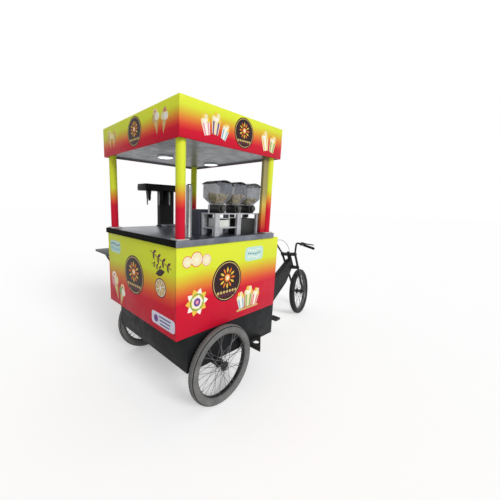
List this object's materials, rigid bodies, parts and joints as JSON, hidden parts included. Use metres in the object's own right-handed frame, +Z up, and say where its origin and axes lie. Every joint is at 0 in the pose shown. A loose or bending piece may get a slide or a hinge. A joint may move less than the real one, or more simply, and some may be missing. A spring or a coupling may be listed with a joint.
{
  "type": "bicycle food cart",
  "caption": "Three-wheeled street food cart with a wrapped cabinet, steel counter, flat canopy on round posts, hopper rack, drinks dispenser and a long pedal front end with a double-crown fork.",
  "frame": {"origin": "on the ground midway between the two rear wheels", "axes": "+X forward to the steered wheel, +Y to the cart's left, +Z up"},
  "size_m": [2.7597, 1.4953, 2.0299],
  "materials": {
    "tyre": "dusty black rubber",
    "rim_rear": "dull dark alloy",
    "rim_front": "plain alloy",
    "spoke": "bright steel",
    "hub": "satin",
    "steel": "brushed",
    "frame_paint": "satin black",
    "fork_paint": "satin black",
    "skirt": "satin dark grey",
    "step_paint": "satin dark grey",
    "board": "sealed board",
    "wrap_side": "printed film, yellow green to crimson",
    "wrap_rear": "printed film, yellow green to crimson",
    "post_wrap": "printed film, yellow green to crimson",
    "fascia_wrap": "printed film, yellow green to crimson",
    "counter_steel": "worn brushed steel",
    "ceiling": "satin grey",
    "lamp": "white diffuser",
    "trunking": "printed film",
    "chrome": "polished",
    "grip": "ribbed black rubber",
    "lever": "black",
    "saddle": "black",
    "crank": "satin",
    "pedal": "black",
    "chain": "oiled steel",
    "dispenser": "satin black",
    "nozzle": "brushed",
    "dark_plastic": "dark smoke",
    "rack": "silver grey",
    "clear": "clear plastic",
    "valve": "black",
    "knob": "grey",
    "box_plastic": "white and dark boxes",
    "cable": "black sleeve"
  },
  "bodies": {
    "cart": {"axle_housing": "frame_paint", "chassis_frame": "frame_paint", "lower_skirt": "skirt", "side_steps": "step_paint", "cabinet_floor": "board", "panel_right": "wrap_side", "panel_left": "wrap_side", "panel_rear": "wrap_rear", "panel_front": "wrap_side", "counter_top": "counter_steel", "canopy_posts": "post_wrap", "post_flanges": "steel", "canopy_fascia": "fascia_wrap", "canopy_ceiling": "ceiling", "canopy_roof": "ceiling", "ceiling_lamps": "lamp", "post_trunking": "trunking", "side_shelf": "board", "shelf_brackets": "frame_paint", "main_beam": "frame_paint", "seat_post": "chrome", "saddle": "saddle", "drive_chain": "chain", "dispenser_column": "dispenser", "dispenser_head": "dispenser", "dispenser_nozzles": "nozzle", "drip_tray": "counter_steel", "straw_tube": "steel", "warmer_box": "dark_plastic", "rack_frame": "rack", "hoppers": "clear", "hopper_valves": "valve", "rack_boxes": "box_plastic"},
    "rear_wheel_set": {"rear_axle": "steel", "rear_hubs": "hub", "rear_rims": "rim_rear", "rear_spokes": "spoke", "rear_tyres": "tyre"},
    "crank_set": {"crankset": "crank"},
    "left_pedal": {"pedal_left": "pedal"},
    "right_pedal": {"pedal_right": "pedal"},
    "steering": {"fork": "fork_paint", "handlebar": "chrome", "grips": "grip", "lever_clamps": "lever", "brake_cable": "cable"},
    "front_wheel": {"front_tyre": "tyre", "front_rim": "rim_front", "front_spokes": "spoke", "front_hub": "hub"},
    "left_lever": {"brake_lever_left": "lever"},
    "right_lever": {"brake_lever_right": "lever"},
    "door": {"storage_door": "wrap_side"},
    "cover": {"hopper_cover": "dark_plastic"},
    "knob_1": {"portion_knob_1": "knob"},
    "knob_2": {"portion_knob_2": "knob"},
    "knob_3": {"portion_knob_3": "knob"},
    "tap_1": {"tap_lever_1": "steel"},
    "tap_2": {"tap_lever_2": "steel"},
    "tap_3": {"tap_lever_3": "steel"}
  },
  "joints": [
    {"name": "rear_axle_spin", "type": "hinge", "parent": "cart", "child": "rear_wheel_set", "pos_m": [0, 0, 0.303], "axis": [0, 1, 0], "continuous": true},
    {"name": "crank_spin", "type": "hinge", "parent": "cart", "child": "crank_set", "pos_m": [1.147, 0, 0.3], "axis": [0, 1, 0], "continuous": true},
    {"name": "pedal_left_spin", "type": "hinge", "parent": "crank_set", "child": "left_pedal", "pos_m": [1.03447, 0.152, 0.42067], "axis": [0, 1, 0], "continuous": true},
    {"name": "pedal_right_spin", "type": "hinge", "parent": "crank_set", "child": "right_pedal", "pos_m": [1.25953, -0.152, 0.17933], "axis": [0, 1, 0], "continuous": true},
    {"name": "steering", "type": "hinge", "parent": "cart", "child": "steering", "pos_m": [1.8126, 0, 0.68763], "axis": [-0.5, 0, 0.866], "range_deg": [-57, 33]},
    {"name": "front_wheel_spin", "type": "hinge", "parent": "steering", "child": "front_wheel", "pos_m": [2.06647, 0.00582, 0.30269], "axis": [-0.1801, 0.9781, -0.104], "continuous": true},
    {"name": "brake_lever_left_squeeze", "type": "hinge", "parent": "steering", "child": "left_lever", "pos_m": [1.61207, 0.19298, 0.98866], "axis": [-0.5297, 0.2566, 0.8084], "range_deg": [0, 12], "stiffness_Nm_per_rad": 0.6, "springref_deg": -11.46},
    {"name": "brake_lever_right_squeeze", "type": "hinge", "parent": "steering", "child": "right_lever", "pos_m": [1.68178, -0.18571, 1.02891], "axis": [0.4353, 0.2566, -0.863], "range_deg": [0, 12], "stiffness_Nm_per_rad": 0.6, "springref_deg": -11.46},
    {"name": "storage_door_swing", "type": "hinge", "parent": "cart", "child": "door", "pos_m": [0.411, 0.5063, 0.715], "axis": [0, 0, -1], "range_deg": [0, 100]},
    {"name": "hopper_cover_lift", "type": "hinge", "parent": "cart", "child": "cover", "pos_m": [0.228, -0.296, 1.5903], "axis": [-1, 0, 0], "range_deg": [0, 80]},
    {"name": "portion_knob_1_turn", "type": "hinge", "parent": "cart", "child": "knob_1", "pos_m": [0.064, -0.426, 1.427], "axis": [0, 1, 0], "continuous": true},
    {"name": "portion_knob_2_turn", "type": "hinge", "parent": "cart", "child": "knob_2", "pos_m": [0.228, -0.426, 1.427], "axis": [0, 1, 0], "continuous": true},
    {"name": "portion_knob_3_turn", "type": "hinge", "parent": "cart", "child": "knob_3", "pos_m": [0.392, -0.426, 1.427], "axis": [0, 1, 0], "continuous": true},
    {"name": "tap_lever_1_press", "type": "hinge", "parent": "cart", "child": "tap_1", "pos_m": [-0.056, 0.4, 1.552], "axis": [1, 0, 0], "range_deg": [0, 12], "stiffness_Nm_per_rad": 0.2, "springref_deg": -17.19},
    {"name": "tap_lever_2_press", "type": "hinge", "parent": "cart", "child": "tap_2", "pos_m": [0.062, 0.4, 1.552], "axis": [1, 0, 0], "range_deg": [0, 12], "stiffness_Nm_per_rad": 0.2, "springref_deg": -17.19},
    {"name": "tap_lever_3_press", "type": "hinge", "parent": "cart", "child": "tap_3", "pos_m": [0.18, 0.4, 1.552], "axis": [1, 0, 0], "range_deg": [0, 12], "stiffness_Nm_per_rad": 0.2, "springref_deg": -17.19}
  ],
  "couplings": [
    {"joint": "crank_spin", "follows": "rear_axle_spin", "ratio": 0.5}
  ]
}
